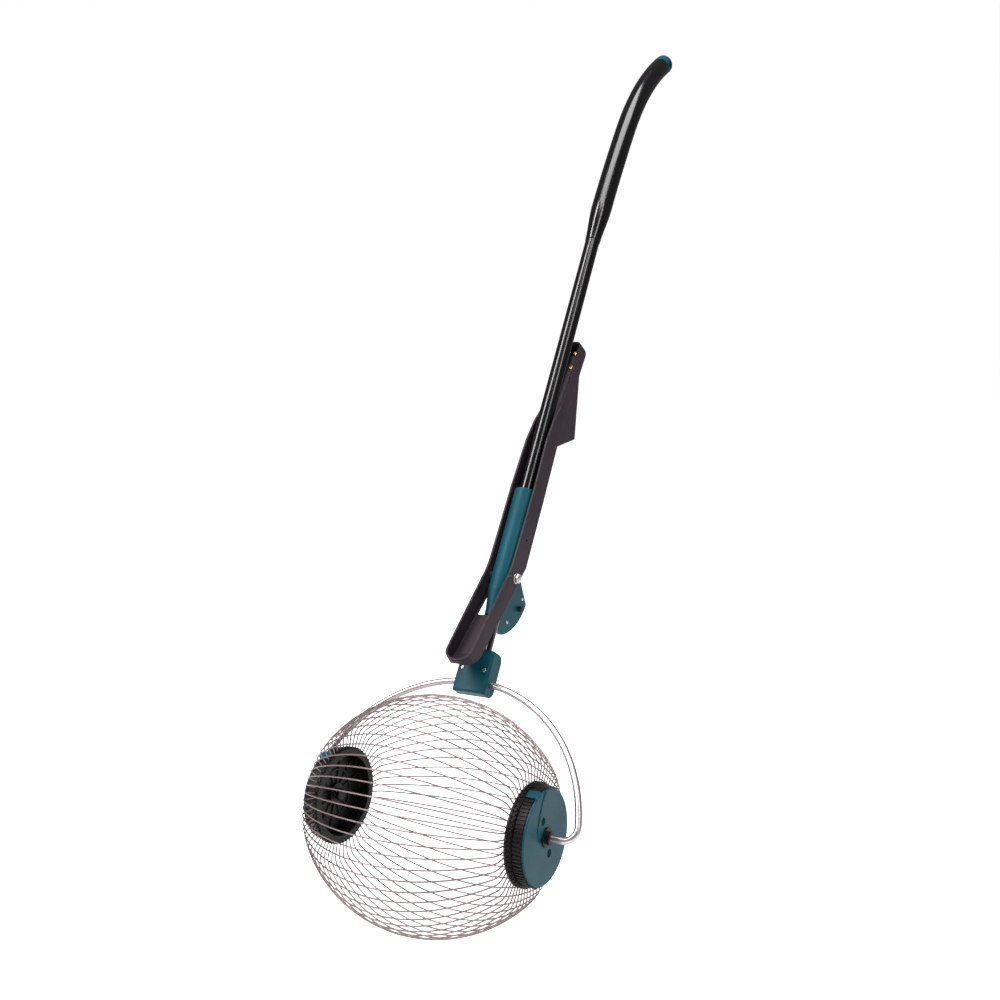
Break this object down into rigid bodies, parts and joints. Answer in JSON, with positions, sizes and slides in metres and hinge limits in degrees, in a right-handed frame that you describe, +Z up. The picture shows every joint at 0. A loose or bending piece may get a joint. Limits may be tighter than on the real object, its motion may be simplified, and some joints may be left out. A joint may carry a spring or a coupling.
{
  "type": "rolling fruit gatherer",
  "caption": "Long-handled rolling wire cage that gathers fallen fruit or nuts, with a bail, a swing arm and a bent grip.",
  "frame": {"origin": "point of the ground under the centre of the cage, with the tool held as in use", "axes": "+X along the cage rolling axis to the right, +Y rearward to the user, +Z up"},
  "size_m": [0.41, 0.916, 1.2701],
  "materials": {
    "teal_plastic": "satin moulded",
    "black_grip": "gloss",
    "black_tube": "gloss black powder coat",
    "black_plastic": "matte moulded",
    "black_rubber": "matte",
    "bright_steel": "bright zinc",
    "black_screw": "black oxide",
    "bail_aluminium": "satin bright",
    "wire_steel": "drawn spring wire",
    "brass_screw": "polished"
  },
  "bodies": {
    "handle": {"end_cap": "teal_plastic", "grip": "black_grip", "upper_tube": "black_tube", "lower_tube": "black_tube", "sleeve_left": "teal_plastic", "sleeve_right": "teal_plastic", "sector_screws": "bright_steel", "stop_peg": "black_rubber", "pivot_bolt": "bright_steel", "pivot_nut": "bright_steel", "pivot_washers": "bright_steel", "coupling_front": "teal_plastic", "coupling_back": "teal_plastic", "coupling_screws": "bright_steel", "bail_rod": "bail_aluminium", "rod_caps": "black_plastic"},
    "cage": {"wires_front": "wire_steel", "wires_top": "wire_steel", "wires_rear": "wire_steel", "wires_bottom": "wire_steel", "wire_ring_left": "black_plastic", "wire_ring_right": "black_plastic", "hub_left": "black_plastic", "hub_right": "black_plastic", "cap_left": "teal_plastic", "cap_right": "teal_plastic", "bush_left": "black_plastic", "bush_right": "black_plastic", "cap_screws": "black_screw"},
    "arm": {"arm_channel": "black_plastic", "arm_heel": "black_plastic", "heel_screws": "brass_screw"}
  },
  "joints": [
    {"name": "cage_roll", "type": "hinge", "parent": "handle", "child": "cage", "pos_m": [0, 0, 0.15], "axis": [1, 0, 0], "continuous": true},
    {"name": "arm_swing", "type": "hinge", "parent": "handle", "child": "arm", "pos_m": [0, 0.18331, 0.42976], "axis": [-1, 0, 0], "range_deg": [0, 88]}
  ]
}
